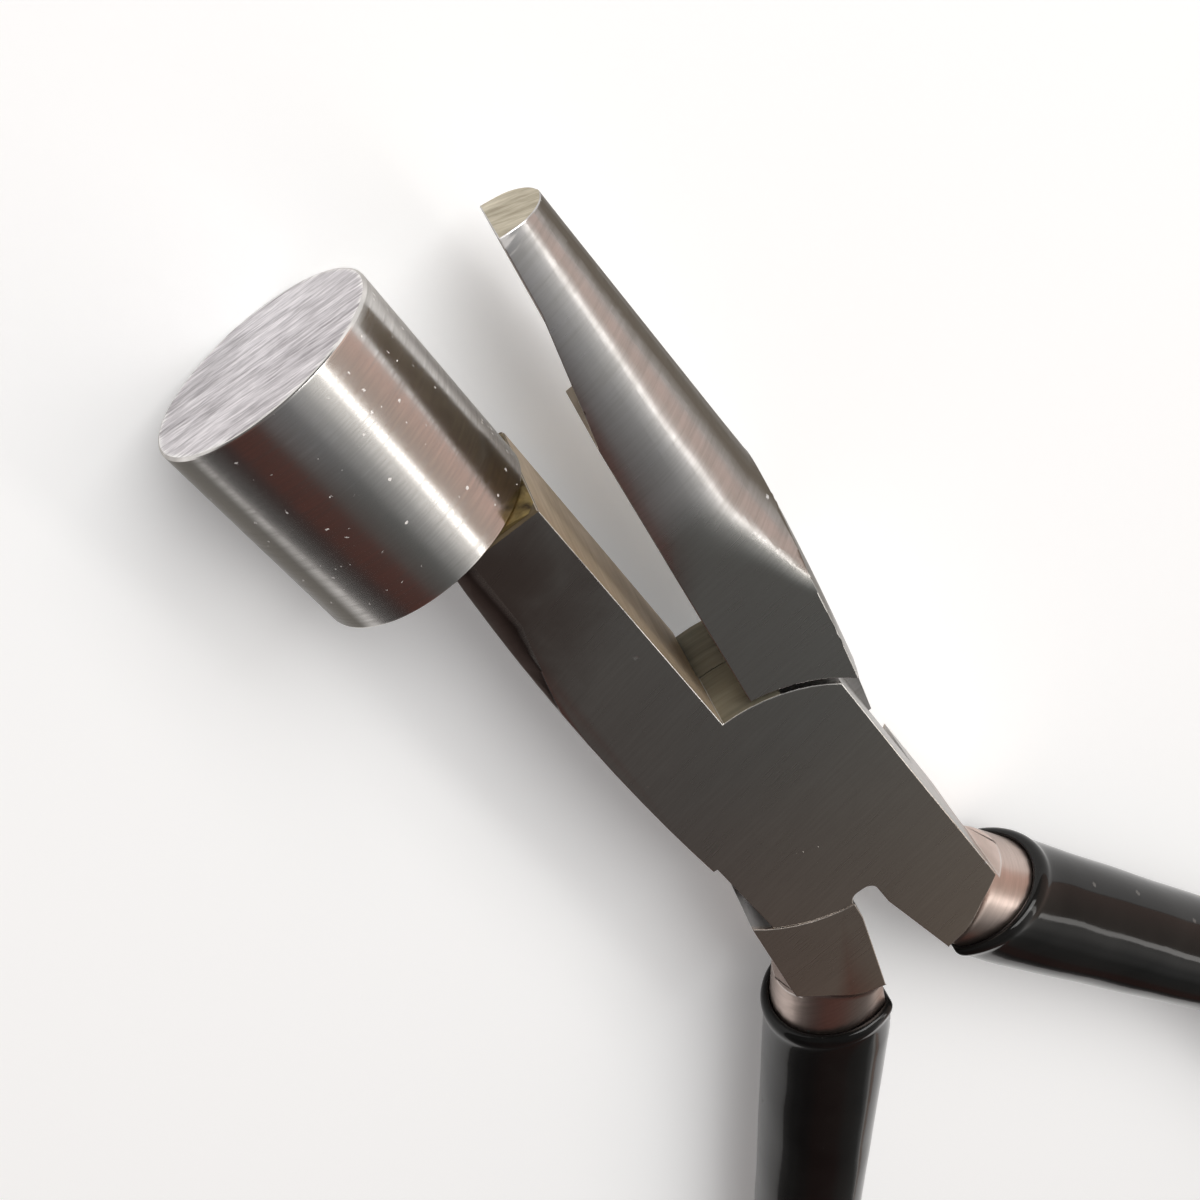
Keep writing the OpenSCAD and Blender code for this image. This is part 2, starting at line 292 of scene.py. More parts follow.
def buildWorld(spec):
    world = bpy.data.worlds.new("softStudio")
    scene.world = world
    world.use_nodes = True
    tree = world.node_tree
    tree.nodes.clear()
    direction = put(tree, "ShaderNodeTexCoord").outputs["Generated"]
    parts = put(tree, "ShaderNodeSeparateXYZ", {0: direction}).outputs
    about = sums(tree, "ARCTAN2", parts["X"], parts["Z"])
    ramp = put(tree, "ShaderNodeValToRGB", {0: remap(tree, about, -math.pi / 2, math.pi / 2)})
    stops = ramp.color_ramp.elements
    ramp.color_ramp.interpolation = "EASE"
    for index, (angle, tone) in enumerate(spec["tones"]):
        stop = stops[index] if index < 2 else stops.new(1.0)
        stop.position = (angle + 90) / 180
        stop.color = (*tone, 1)
    overhead = remap(tree, parts["Z"], *spec["overheadRange"], smooth=True)
    colour = mixColour(tree, overhead, ramp.outputs[0], spec["overhead"], "ADD")
    towardsFront = remap(tree, parts["Y"], *spec["frontRange"], smooth=True)
    colour = mixColour(tree, towardsFront, colour, spec["front"])
    seen = put(tree, "ShaderNodeLightPath").outputs["Is Camera Ray"]
    colour = mixColour(tree, seen, colour, spec["backdrop"])
    background = put(tree, "ShaderNodeBackground", {"Color": colour, "Strength": 1.0})
    put(tree, "ShaderNodeOutputWorld", {"Surface": background.outputs[0]})


buildCamera(cameraSettings)
buildFloor(stageSettings)
for lampName, lampSpec in lampSettings.items():
    buildLamp(lampName, lampSpec, stageSettings)
buildWorld(worldSettings)
print("stage: camera, floor, lamps and world")


# shader groups that several finishes share

grainSettings = {
    "fineShare": 0.65,
    "broadScale": 0.23,          # the broad lines against the fine ones
    "toneRange": (0.34, 0.66),
}

nickSettings = {
    "wobbleScale": 9000.0,       # makes the round dents uneven
    "wobble": 0.22 * mm,
    "sizes": (0.06, 0.24),       # as a share of the dents' spacing
    "rim": 0.06,
}

wearSettings = {
    "patchRange": (0.34, 0.62),
    "least": 0.25,
}


def buildGrainGroup(spec):
    # fine lines left by a belt or a stone: tight across, long along
    tree, entry, leave = newGroup(
        "brushedGrain",
        [("Coordinates", "NodeSocketVector", None), ("Lines", "NodeSocketFloat", 3000.0),
         ("Stretch", "NodeSocketFloat", 150.0)],
        [("Height", "NodeSocketFloat"), ("Tone", "NodeSocketFloat")])
    spread = put(tree, "ShaderNodeCombineXYZ",
                 {0: entry.outputs["Stretch"], 1: entry.outputs["Lines"],
                  2: entry.outputs["Stretch"]}).outputs[0]
    stretched = vectorSums(tree, "MULTIPLY", entry.outputs["Coordinates"], spread).outputs[0]
    fine = put(tree, "ShaderNodeTexNoise",
               {"Vector": stretched, "Scale": 1.0, "Detail": 3.0, "Roughness": 0.62})
    broad = put(tree, "ShaderNodeTexNoise",
                {"Vector": stretched, "Scale": spec["broadScale"], "Detail": 2.0,
                 "Roughness": 0.5})
    height = blendTones(tree, (fine.outputs["Fac"], spec["fineShare"]),
                        (broad.outputs["Fac"], 1 - spec["fineShare"]))
    tree.links.new(height, leave.inputs["Height"])
    tree.links.new(remap(tree, height, *spec["toneRange"]), leave.inputs["Tone"])
    return tree


def buildBlotchGroup():
    # soft uneven patches from handling and heat
    tree, entry, leave = newGroup(
        "softBlotches",
        [("Coordinates", "NodeSocketVector", None), ("Scale", "NodeSocketFloat", 200.0),
         ("Contrast", "NodeSocketFloat", 0.2)],
        [("Tone", "NodeSocketFloat")])
    cloud = put(tree, "ShaderNodeTexNoise",
                {"Vector": entry.outputs["Coordinates"], "Scale": entry.outputs["Scale"],
                 "Detail": 3.0, "Roughness": 0.55, "Distortion": 0.4})
    low = sums(tree, "SUBTRACT", 0.5, entry.outputs["Contrast"])
    high = sums(tree, "ADD", 0.5, entry.outputs["Contrast"])
    tree.links.new(remap(tree, cloud.outputs["Fac"], low, high), leave.inputs["Tone"])
    return tree


def buildNickGroup(spec):
    # small dents scattered over worked steel
    tree, entry, leave = newGroup(
        "scatteredNicks",
        [("Coordinates", "NodeSocketVector", None), ("Scale", "NodeSocketFloat", 700.0),
         ("Share", "NodeSocketFloat", 0.1)],
        [("Mask", "NodeSocketFloat")])
    coordinates = entry.outputs["Coordinates"]
    wobble = put(tree, "ShaderNodeTexNoise", {"Vector": coordinates,
                                              "Scale": spec["wobbleScale"], "Detail": 1.0})
    shift = vectorSums(tree, "MULTIPLY", wobble.outputs["Color"], (spec["wobble"],) * 3)
    uneven = vectorSums(tree, "ADD", coordinates, shift.outputs[0]).outputs[0]
    cells = put(tree, "ShaderNodeTexVoronoi", {"Vector": uneven,
                                               "Scale": entry.outputs["Scale"]})
    chance = put(tree, "ShaderNodeSeparateXYZ", {0: cells.outputs["Color"]}).outputs
    picked = sums(tree, "LESS_THAN", chance["X"], entry.outputs["Share"])
    size = remap(tree, chance["Y"], 0.0, 1.0, *spec["sizes"])
    inside = sums(tree, "SUBTRACT", size, cells.outputs["Distance"])
    mask = sums(tree, "MULTIPLY", remap(tree, inside, 0.0, spec["rim"]), picked)
    tree.links.new(mask, leave.inputs["Mask"])
    return tree


def buildWearGroup(spec):
    # polished rubs on the arrises, broken up so that they are not one even line
    tree, entry, leave = newGroup(
        "edgeWear",
        [("Coordinates", "NodeSocketVector", None), ("Edge", "NodeSocketFloat", 0.0),
         ("Scale", "NodeSocketFloat", 500.0)],
        [("Mask", "NodeSocketFloat")])
    patches = put(tree, "ShaderNodeTexNoise",
                  {"Vector": entry.outputs["Coordinates"], "Scale": entry.outputs["Scale"],
                   "Detail": 2.0})
    broken = remap(tree, patches.outputs["Fac"], *spec["patchRange"], spec["least"], 1.0)
    tree.links.new(sums(tree, "MULTIPLY", broken, entry.outputs["Edge"], True),
                   leave.inputs["Mask"])
    return tree


grainGroup = buildGrainGroup(grainSettings)
blotchGroup = buildBlotchGroup()
nickGroup = buildNickGroup(nickSettings)
wearGroup = buildWearGroup(wearSettings)
print("shader groups: brushedGrain, softBlotches, scatteredNicks, edgeWear")


def rubbedEdges(tree, coordinates):
    # the eased arrises carry the attribute edgeWear
    edge = put(tree, "ShaderNodeAttribute", attribute_name="edgeWear").outputs["Fac"]
    return placeGroup(tree, wearGroup, coordinates, {"Edge": edge}).outputs["Mask"]


def grainedTone(tree, grained, blotched, spec):
    # brushed grain with soft blotches over it: both groups' outputs and the tone that they make
    grain = placeGroup(tree, grainGroup, grained, spec["grain"]).outputs
    blotch = placeGroup(tree, blotchGroup, blotched, spec["blotch"]).outputs
    tone = blendTones(tree, (grain["Tone"], spec["grainShare"]),
                      (blotch["Tone"], 1 - spec["grainShare"]))
    return grain, blotch, tone


# ground steel of the arms

armSteelSettings = {
    "light": (0.52, 0.515, 0.495, 1),
    "dark": (0.36, 0.355, 0.34, 1),
    "round": (0.66, 0.65, 0.655, 1),        # ground round parts are brighter than the flats
    "worn": (0.68, 0.67, 0.66, 1),
    "wearShare": 0.5,
    "grain": {"Lines": 4200.0, "Stretch": 330.0},
    "blotch": {"Scale": 260.0, "Contrast": 0.22},
    "nicks": {"Scale": 1100.0, "Share": 0.04},
    "grainShare": 0.65,
    "paintedDarkSide": (0.13, 0.112, 0.09, 1),      # painted dark reflection on the jaws' outer sides
    # the same painted dark reflection, on the mandrel arm's outer side
    "paintedDarkSideMandrelArm": (0.060, 0.044, 0.040, 1),
    "paintedDarkSideRange": (0.62, 0.88),           # how far a face looks outwards
    "paintedDarkSideMandrelArmRange": (0.25, 0.60),
    "paintedDarkSidePlace": (8 * mm, 12 * mm),      # it begins past the joint
    "polishDepth": (0.06 * mm, 0.45 * mm),  # round parts lie this far below the flats
    "polishBase": 0.30,
    "polishGrain": 0.45,
    # painted warm reflection: the flats grow brighter and warmer towards the handles
    "paintedWarmReflectionHandle": (1.50, 1.26, 1.10, 1),
    "handlePlace": (6 * mm, -20 * mm),
    # painted warm pink reflection on the round necks
    "paintedWarmReflectionNeck": (1.0, 0.84, 0.77, 1),
    "neckPlace": (-12 * mm, -16 * mm),
    "heatBrown": (0.40, 0.29, 0.26, 1),
    "foot": (-6.5 * mm, 26.0 * mm, 8.0 * mm),    # where the braze was heated
    "heatReach": (10 * mm, 2 * mm),
    "heatRagged": (-1.5 * mm, 1.5 * mm),
    "heatMost": 0.8,
    "chip": (6.25 * mm, 39.8 * mm, 7.1 * mm),    # worn corner of the flat jaw's tip
    "chipReach": (1.0 * mm, 0.6 * mm),
    "chipRagged": (-0.3 * mm, 0.3 * mm),
    "chipDull": 0.7,
    "rough": (0.30, 0.20),                  # of the dark and the light lines
    "roundRough": 0.06,                     # added on the round parts
    "tint": (0.62, 0.61, 0.60, 1),
    "nickDepth": 0.8,
    "relief": (0.30, 0.02 * mm),
}


def armSteel(name, turn, heated, spec):
    # turn lays the grain, and the heated arm is the one that the mandrel is brazed to
    material, tree, local = newMaterial(name)
    laid = turnedCoordinates(tree, local, (0.0, 0.0, turn))
    grain, blotch, tone = grainedTone(tree, laid, laid, spec)
    nicks = placeGroup(tree, nickGroup, laid, spec["nicks"]).outputs["Mask"]
    place = put(tree, "ShaderNodeSeparateXYZ", {0: local}).outputs

    # the round parts lie below the flats, and the outer sides, which look away from the other jaw,
    # get a painted dark reflection
    aside = sums(tree, "ABSOLUTE", sums(tree, "SUBTRACT", place["Z"], layout["middleHeight"]))
    below = sums(tree, "SUBTRACT", layout["middleHeight"], aside)
    rounded = remap(tree, below, *spec["polishDepth"], smooth=True)
    outwards = put(tree, "ShaderNodeAttribute", attribute_name="outwards").outputs["Fac"]
    lookRange = spec["paintedDarkSideMandrelArmRange" if heated else "paintedDarkSideRange"]
    paintedDarkSides = sums(tree, "MULTIPLY", remap(tree, outwards, *lookRange, smooth=True),
                 remap(tree, place["Y"], *spec["paintedDarkSidePlace"], smooth=True))

    colour = mixColour(tree, tone, spec["dark"], spec["light"])
    brushed = sums(tree, "ADD", sums(tree, "MULTIPLY", grain["Tone"], spec["polishGrain"]),
                   spec["polishBase"])
    colour = mixColour(tree, sums(tree, "MULTIPLY", rounded, brushed), colour, spec["round"])
    # painted dark reflection on the outer sides
    colour = mixColour(tree, paintedDarkSides, colour, spec["paintedDarkSideMandrelArm" if heated else "paintedDarkSide"])
    flats = sums(tree, "SUBTRACT", 1.0, rounded)
    # painted warm reflection on the flats towards the handles
    paintedWarmHandleFlats = sums(tree, "MULTIPLY", remap(tree, place["Y"], *spec["handlePlace"]), flats)
    colour = mixColour(tree, paintedWarmHandleFlats, colour, spec["paintedWarmReflectionHandle"], "MULTIPLY")
    # painted warm pink reflection on the round parts of the necks
    paintedPinkNeck = sums(tree, "MULTIPLY", remap(tree, place["Y"], *spec["neckPlace"]), rounded)
    colour = mixColour(tree, paintedPinkNeck, colour, spec["paintedWarmReflectionNeck"], "MULTIPLY")

    rubbed = sums(tree, "MULTIPLY", rubbedEdges(tree, laid), spec["wearShare"])
    bright = sums(tree, "MAXIMUM", rubbed, nicks)
    metal = 1.0
    if heated:
        away = raggedDistance(tree, local, spec["foot"], blotch["Tone"], spec["heatRagged"])
        brown = remap(tree, away, *spec["heatReach"], 0.0, spec["heatMost"], True)
        colour = mixColour(tree, brown, colour, spec["heatBrown"], "MULTIPLY")
    else:
        away = raggedDistance(tree, local, spec["chip"], grain["Tone"], spec["chipRagged"])
        chipped = remap(tree, away, *spec["chipReach"], smooth=True)
        bright = sums(tree, "MAXIMUM", bright, chipped)
        dull = sums(tree, "MULTIPLY", chipped, spec["chipDull"])
        metal = sums(tree, "SUBTRACT", 1.0, dull)
    colour = mixColour(tree, bright, colour, spec["worn"])

    rough = remap(tree, tone, 0.0, 1.0, *spec["rough"])
    rough = sums(tree, "ADD", rough, sums(tree, "MULTIPLY", rounded, spec["roundRough"]))
    height = sums(tree, "SUBTRACT", grain["Height"],
                  sums(tree, "MULTIPLY", nicks, spec["nickDepth"]))
    finishMaterial(tree, spec["relief"], height,
                   {"Base Color": colour, "Metallic": metal, "Roughness": rough,
                    "Specular Tint": spec["tint"]})
    return material


# sawn and filed ends of the mandrel and of both jaws

endFaceSettings = {
    "turn": (math.radians(90), 0.0, math.radians(8)),
    "light": (0.95, 0.915, 0.935, 1),
    "dark": (0.24, 0.22, 0.235, 1),
    "worn": (0.97, 0.96, 0.94, 1),
    "grain": {"Lines": 5600.0, "Stretch": 620.0},
    "blotch": {"Scale": 420.0, "Contrast": 0.25},
    "grainShare": 0.75,
    "wander": 0.28 * mm,         # how far the file marks stray
    "wanderScale": 700.0,
    "rimCentre": (-6.5 * mm, 41.35 * mm, 4.7 * mm),
    "rimReach": (6.0 * mm, 6.4 * mm),
    "rimRagged": (-0.35 * mm, 0.15 * mm),
    "rimMost": 0.8,
    "rough": (0.50, 0.32),
    "relief": (0.5, 0.03 * mm),
}

tipFaceSettings = {
    **endFaceSettings,
    "turn": (math.radians(90), 0.0, math.radians(30)),
    "light": (0.66, 0.60, 0.47, 1),
    "dark": (0.30, 0.26, 0.18, 1),
    "worn": (0.95, 0.93, 0.90, 1),
    "grain": {"Lines": 3600.0, "Stretch": 520.0},
    "wander": 0.4 * mm,
    "rimCentre": None,           # no bright rim
}


def groundEndSteel(name, spec):
    # coarse short file marks, laid in the face
    material, tree, local = newMaterial(name)
    laid = turnedCoordinates(tree, local, spec["turn"])
    wander = put(tree, "ShaderNodeTexNoise", {"Vector": laid, "Scale": spec["wanderScale"],
                                              "Detail": 2.0})
    shift = sums(tree, "MULTIPLY", sums(tree, "SUBTRACT", wander.outputs["Fac"], 0.5),
                 spec["wander"])
    offset = put(tree, "ShaderNodeCombineXYZ", {1: shift}).outputs[0]
    wavy = vectorSums(tree, "ADD", laid, offset).outputs[0]
    grain, _, tone = grainedTone(tree, wavy, local, spec)
    colour = mixColour(tree, tone, spec["dark"], spec["light"])
    bright = rubbedEdges(tree, local)
    if spec["rimCentre"]:
        away = raggedDistance(tree, local, spec["rimCentre"], grain["Tone"], spec["rimRagged"])
        rim = remap(tree, away, *spec["rimReach"], 0.0, spec["rimMost"], True)
        bright = sums(tree, "MAXIMUM", bright, rim)
    colour = mixColour(tree, bright, colour, spec["worn"])
    rough = remap(tree, tone, 0.0, 1.0, *spec["rough"])
    finishMaterial(tree, spec["relief"], grain["Height"],
                   {"Base Color": colour, "Metallic": 1.0, "Roughness": rough})
    return material


# inner faces of the jaws, in tan tones painted as warm reflections

innerFaceSettings = {
    "grain": {"Lines": 2600.0, "Stretch": 150.0},
    "blotch": {"Scale": 240.0, "Contrast": 0.2},
    "grainShare": 0.5,
    "worn": (0.70, 0.66, 0.60, 1),
    "metal": 0.6,
    "rough": (0.56, 0.42),
    "relief": (0.2, 0.02 * mm),
}

# turn of the grain, dark tone and light tone: the mandrel's jaw, the flat jaw, the ledge
# beside the mandrel's foot, and the root of the V between the jaws
innerFaceLooks = {
    # tan tones painted as a warm reflection
    "innerFaceSteel": ((0.0, 0.0, 0.0), (0.46, 0.36, 0.24, 1), (0.74, 0.61, 0.46, 1)),
    # a darker copy of the tan: painted shade on the flat jaw's inner face
    "paintedShadeInnerJawSteel": ((0.0, 0.0, 0.0), (0.22, 0.18, 0.13, 1), (0.42, 0.35, 0.27, 1)),
    # dark brown: heat oxide beside the braze, together with a painted dark reflection of the
    # mandrel's side
    "ledgeOxideAndDarkReflection": ((0.0, 0.0, 0.0), (0.06, 0.045, 0.03, 1), (0.20, 0.15, 0.08, 1)),
    # olive-tan tones painted as a warm reflection
    "jawRootSteel": ((0.0, math.radians(90), math.radians(90)), (0.17, 0.155, 0.115, 1),
                     (0.40, 0.365, 0.27, 1)),
}


def innerFaceSteel(name, turn, dark, light, spec):
    material, tree, local = newMaterial(name)
    grain, _, tone = grainedTone(tree, turnedCoordinates(tree, local, turn), local, spec)
    colour = mixColour(tree, tone, dark, light)
    colour = mixColour(tree, rubbedEdges(tree, local), colour, spec["worn"])
    rough = remap(tree, tone, 0.0, 1.0, *spec["rough"])
    finishMaterial(tree, spec["relief"], grain["Height"],
                   {"Base Color": colour, "Metallic": spec["metal"], "Roughness": rough})
    return material


# turned side of the mandrel

turnedSteelSettings = {
    "light": (0.70, 0.685, 0.67, 1),
    "dark": (0.46, 0.45, 0.435, 1),
    "worn": (0.82, 0.80, 0.78, 1),
    "paintedDarkMandrelSide": (0.13, 0.125, 0.115, 1),     # painted dark reflection on the side that faces away from the jaw
    "rings": {"Lines": 6400.0, "Stretch": 260.0},
    "streaks": {"Scale": 900.0, "Contrast": 0.3},
    "streakLength": (1.0, 0.03, 1.0),
    "blotch": {"Scale": 170.0, "Contrast": 0.25},
    "nicks": {"Scale": 2300.0, "Share": 0.24},
    "shares": (0.6, 0.15, 0.25),         # of the rings, the streaks and the blotches
    "rough": (0.27, 0.13),
    "nickRough": 0.2,
    "nickDull": 0.8,
    "ringDepth": 0.5,
    "tint": (0.62, 0.60, 0.58, 1),
    "relief": (0.16, 0.02 * mm),
}


def turnedSteel(name, spec):
    # fine rings from the lathe, small nicks, and faint lengthwise streaks
    material, tree, local = newMaterial(name)
    rings = placeGroup(tree, grainGroup, local, spec["rings"]).outputs
    drawn = put(tree, "ShaderNodeMapping", {"Vector": local, "Scale": spec["streakLength"]})
    streaks = placeGroup(tree, blotchGroup, drawn.outputs[0], spec["streaks"]).outputs
    blotch = placeGroup(tree, blotchGroup, local, spec["blotch"]).outputs
    nicks = placeGroup(tree, nickGroup, local, spec["nicks"]).outputs["Mask"]
    parts = (rings["Tone"], streaks["Tone"], blotch["Tone"])
    tone = blendTones(tree, *zip(parts, spec["shares"]))
    colour = mixColour(tree, tone, spec["dark"], spec["light"])
    # painted dark reflection on the mandrel's side away from the jaw
    paintedDarkMandrelSide = put(tree, "ShaderNodeAttribute", attribute_name="paintedDarkMandrelSide").outputs["Fac"]
    colour = mixColour(tree, paintedDarkMandrelSide, colour, spec["paintedDarkMandrelSide"])
    bright = sums(tree, "MAXIMUM", rubbedEdges(tree, local), nicks)
    colour = mixColour(tree, bright, colour, spec["worn"])
    rough = remap(tree, rings["Tone"], 0.0, 1.0, *spec["rough"])
    rough = sums(tree, "ADD", rough, sums(tree, "MULTIPLY", nicks, spec["nickRough"]))
    height = sums(tree, "SUBTRACT", sums(tree, "MULTIPLY", rings["Height"], spec["ringDepth"]),
                  nicks)
    metal = sums(tree, "SUBTRACT", 1.0, sums(tree, "MULTIPLY", nicks, spec["nickDull"]))
    finishMaterial(tree, spec["relief"], height,
                   {"Base Color": colour, "Metallic": metal, "Roughness": rough,
                    "Specular Tint": spec["tint"]})
    return material


# braze round the mandrel's foot

brazeSettings = {
    "light": (0.50, 0.38, 0.16, 1),
    "dark": (0.07, 0.05, 0.03, 1),
    "blotch": {"Scale": 900.0, "Contrast": 0.2},
    "lumpScale": 1800.0,
    "rough": (0.5, 0.28),
    "relief": (0.5, 0.08 * mm),
}


def brazeMetal(name, spec):
    material, tree, local = newMaterial(name)
    tone = placeGroup(tree, blotchGroup, local, spec["blotch"]).outputs["Tone"]
    lumps = put(tree, "ShaderNodeTexNoise", {"Vector": local, "Scale": spec["lumpScale"],
                                             "Detail": 3.0})
    colour = mixColour(tree, tone, spec["dark"], spec["light"])
    rough = remap(tree, tone, 0.0, 1.0, *spec["rough"])
    finishMaterial(tree, spec["relief"], lumps.outputs["Fac"],
                   {"Base Color": colour, "Metallic": 1.0, "Roughness": rough})
    return material


# dipped vinyl of the grips

vinylSettings = {
    "light": (0.010, 0.0095, 0.009, 1),
    "dark": (0.004, 0.004, 0.004, 1),
    "blotch": {"Scale": 190.0, "Contrast": 0.25},
    "dust": {"Scale": 900.0, "Share": 0.03},
    "dustColour": (0.22, 0.21, 0.20, 1),
    "dustShare": 0.35,
    "dustRough": 0.3,
    "skinScale": 420.0,
    "rough": (0.06, 0.11),
    "gloss": 1.33,               # index of refraction
    "relief": (0.10, 0.12 * mm),
}


def blackVinyl(name, spec):
    material, tree, local = newMaterial(name)
    tone = placeGroup(tree, blotchGroup, local, spec["blotch"]).outputs["Tone"]
    dust = placeGroup(tree, nickGroup, local, spec["dust"]).outputs["Mask"]
    skin = put(tree, "ShaderNodeTexNoise", {"Vector": local, "Scale": spec["skinScale"],
                                            "Detail": 2.0})
    colour = mixColour(tree, tone, spec["dark"], spec["light"])
    colour = mixColour(tree, sums(tree, "MULTIPLY", dust, spec["dustShare"]), colour,
                       spec["dustColour"])
    rough = remap(tree, tone, 0.0, 1.0, *spec["rough"])
    rough = sums(tree, "ADD", rough, sums(tree, "MULTIPLY", dust, spec["dustRough"]))
    finishMaterial(tree, spec["relief"], skin.outputs["Fac"],
                   {"Base Color": colour, "Roughness": rough, "IOR": spec["gloss"]})
    return material


grainLean = math.radians(-14)
mandrelArmSteel = armSteel("mandrelArmSteel", grainLean, True, armSteelSettings)
flatJawArmSteel = armSteel("flatJawArmSteel", layout["restOpen"] + grainLean, False,
                           armSteelSettings)
sawnEnd = groundEndSteel("mandrelEndSteel", endFaceSettings)
sawnTip = groundEndSteel("jawTipSteel", tipFaceSettings)
paintedWarmInnerFace, paintedShadeInnerJaw, ledge, paintedWarmJawRoot = [innerFaceSteel(name, *look, innerFaceSettings)
                                       for name, look in innerFaceLooks.items()]
turned = turnedSteel("turnedMandrelSteel", turnedSteelSettings)
braze = brazeMetal("brazeMetal", brazeSettings)
vinyl = blackVinyl("blackVinyl", vinylSettings)
print("materials: steel, braze and vinyl")


# steel arms: the CAD solids with their arrises eased

armSettings = {
    "mergeWithin": 0.002 * mm,
    "flatWithin": math.radians(0.2),
    "sharpAbove": math.radians(22),
    "blendedAbove": math.radians(40),    # between two faces that both look up or down
    "fadedAbove": math.radians(70),      # on the flat jaw's round side, where its front runs out
    "fadedAside": 3.5 * mm,
    "fadedRange": (8.9 * mm, 39 * mm),
    "arris": {"offset": 0.055 * mm, "segments": 2, "clamp_overlap": False, "loop_slide": True},
    "ledgeChamfer": {"offset": 0.45 * mm, "segments": 3, "clamp_overlap": True},
    "ledgePlace": 28.3 * mm,             # the arm's end, beside the mandrel's foot
    "ledgeWithin": 0.03 * mm,
    "ledgeHeight": 4.6 * mm,             # from the middle plane
    "rivetClear": 3.7 * mm,              # arrises nearer the pivot than this stay sharp
    "lapHeight": 0.5 * mm,               # and so do those between the two halves of the lap
}

# where the faces of each finish lie, along the jaws and away from their middle line, and how
# far they look up the jaws or at the other jaw
faceSettings = {
    "straightUp": 0.97,
    "straightIn": 0.95,
    "mostlyUp": 0.8,
    "slightlyUp": 0.1,
    "endFrom": 36 * mm,
    "innerFrom": 9 * mm,
    "innerWithin": 3 * mm,
    "rootRange": (8.5 * mm, 10.5 * mm),
    "rootWithin": 3.5 * mm,
    "shoulderRange": (28 * mm, 29 * mm),
    "shoulderWithin": 2 * mm,
    "ledgeFrom": 27.4 * mm,
}

jawBlendSettings = {
    "tip": (1.85 * mm, 40.2 * mm),       # centre line of the half-round jaw at its tip
    "lean": math.radians(2.4),
    # radius of the half-round, in mm, at these distances from the tip
    "radii": [(-2, 2.468), (18.7, 4.869), (24.7, 6.119), (42.7, 11.869)],
    "flat": 4.7 * mm,                    # height of the front flat
    "drop": 0.10 * mm,                   # how far the ground front lies below the half-round
    # fall of the front per mm squared past crownFrom, by the distance from the tip
    "crown": [(0.0, 0.055), (8.0, 0.045), (14.0, 0.0), (30.0, 0.0)],
    "crownFrom": -0.7 * mm,
    # width of the soft corner between front and half-round
    "blend": [(0.0, 0.12), (8.0, 0.18), (12.0, 0.30), (15.5, 0.70), (20.0, 0.65), (25.0, 0.60),
              (30.0, 0.55)],
    "from": 9.0 * mm,
    "columns": (1.0 * mm, 7.6 * mm),
    "spacing": 0.28 * mm,
    "longSpacing": 0.55 * mm,
    "levels": 5,
    "levelSpacing": 0.5 * mm,
    "roundFrom": 3 * mm,                 # the round side lies past this and looks outwards
    "roundLook": 0.3,
    "cutWithin": 0.004 * mm,
    "snap": 0.06 * mm,       # points this near the ground front or the half-round go exactly on it
    "thin": 1.6 * mm,        # nearer the outline than this, points are only lowered
    "tipClear": 0.5 * mm,    # and this near the tip's end
}


def cutGrid(build, spec):
    # adds rows, columns and levels of points for the blend, on the jaw only
    def jawFaces():
        return [face for face in build.faces if face.calc_center_median().y > spec["from"]]

    def cut(place, normal, faces):
        corners = dict.fromkeys(item for face in faces for item in (*face.verts, *face.edges))
        bmesh.ops.bisect_plane(build, geom=[*corners, *faces], dist=spec["cutWithin"],
                               plane_co=place, plane_no=normal)

    cut((0, spec["from"], 0), (0, 1, 0), list(build.faces))
    place = spec["from"] + spec["spacing"]
    while place < spec["tip"][1]:
        cut((0, place, 0), (0, 1, 0), jawFaces())
        place += spec["longSpacing"]
    place, last = spec["columns"]
    while place < last:
        cut((place, 0, 0), (1, 0, 0), jawFaces())
        place += spec["spacing"]
    for step in range(-spec["levels"], spec["levels"] + 1):
        roundSide = [face for face in jawFaces()
                     if face.calc_center_median().x > spec["roundFrom"]
                     and face.normal.x > spec["roundLook"]]
        level = layout["middleHeight"] + step * spec["levelSpacing"]
        cut((0, 0, level), (0, 0, 1), roundSide)
    bmesh.ops.triangulate(build, faces=jawFaces(), quad_method="BEAUTY", ngon_method="BEAUTY")


def blendJaw(build, turn, spec):
    # runs the jaw's ground front softly into its half-round back
    spin = Matrix.Rotation(turn, 4, "Z")
    bmesh.ops.transform(build, matrix=spin, verts=build.verts)
    cutGrid(build, spec)
    middle = layout["middleHeight"]
    heading = Vector((math.sin(spec["lean"]), -math.cos(spec["lean"])))
    across = Vector((math.cos(spec["lean"]), math.sin(spec["lean"])))
    for vert in build.verts:
        if vert.co.y < spec["from"]:
            continue
        reach = vert.co.xy - Vector(spec["tip"])
        distance = reach.dot(heading) / mm
        radius = valueAlong(spec["radii"], distance) * mm
        offset = reach.dot(across)
        cone = math.sqrt(max(radius * radius - offset * offset, 0.0))
        past = max(offset - spec["crownFrom"], 0.0)
        flat = (min(spec["flat"], radius - spec["drop"])
                - valueAlong(spec["crown"], distance) / mm * past * past)
        blend = valueAlong(spec["blend"], distance) * mm
        share = max(blend - abs(flat - cone), 0.0) / blend
        height = min(flat, cone) - blend * share * share / 4
        side = vert.co.z - middle
        inner = height > spec["thin"] and distance > spec["tipClear"] / mm
        onTop = abs(side) > height - (spec["snap"] if inner else 0.0)
        if onTop:
            vert.co.z = middle + math.copysign(height, side)
        # facets of the half-round are put back on its true surface
        away = math.hypot(offset, side)
        if offset > 0 and inner and not onTop and abs(away - radius) < spec["snap"]:
            vert.co.xy += across * offset * (radius / away - 1)
            vert.co.z = middle + side * radius / away
    bmesh.ops.transform(build, matrix=spin.inverted(), verts=build.verts)


def easeEdges(build, edges, wearLayer, width):
    made = bmesh.ops.bevel(build, geom=edges, offset_type="OFFSET", affect="EDGES", profile=0.5,
                           material=-1, **width)
    for face in made["faces"]:
        face[wearLayer] = 1.0


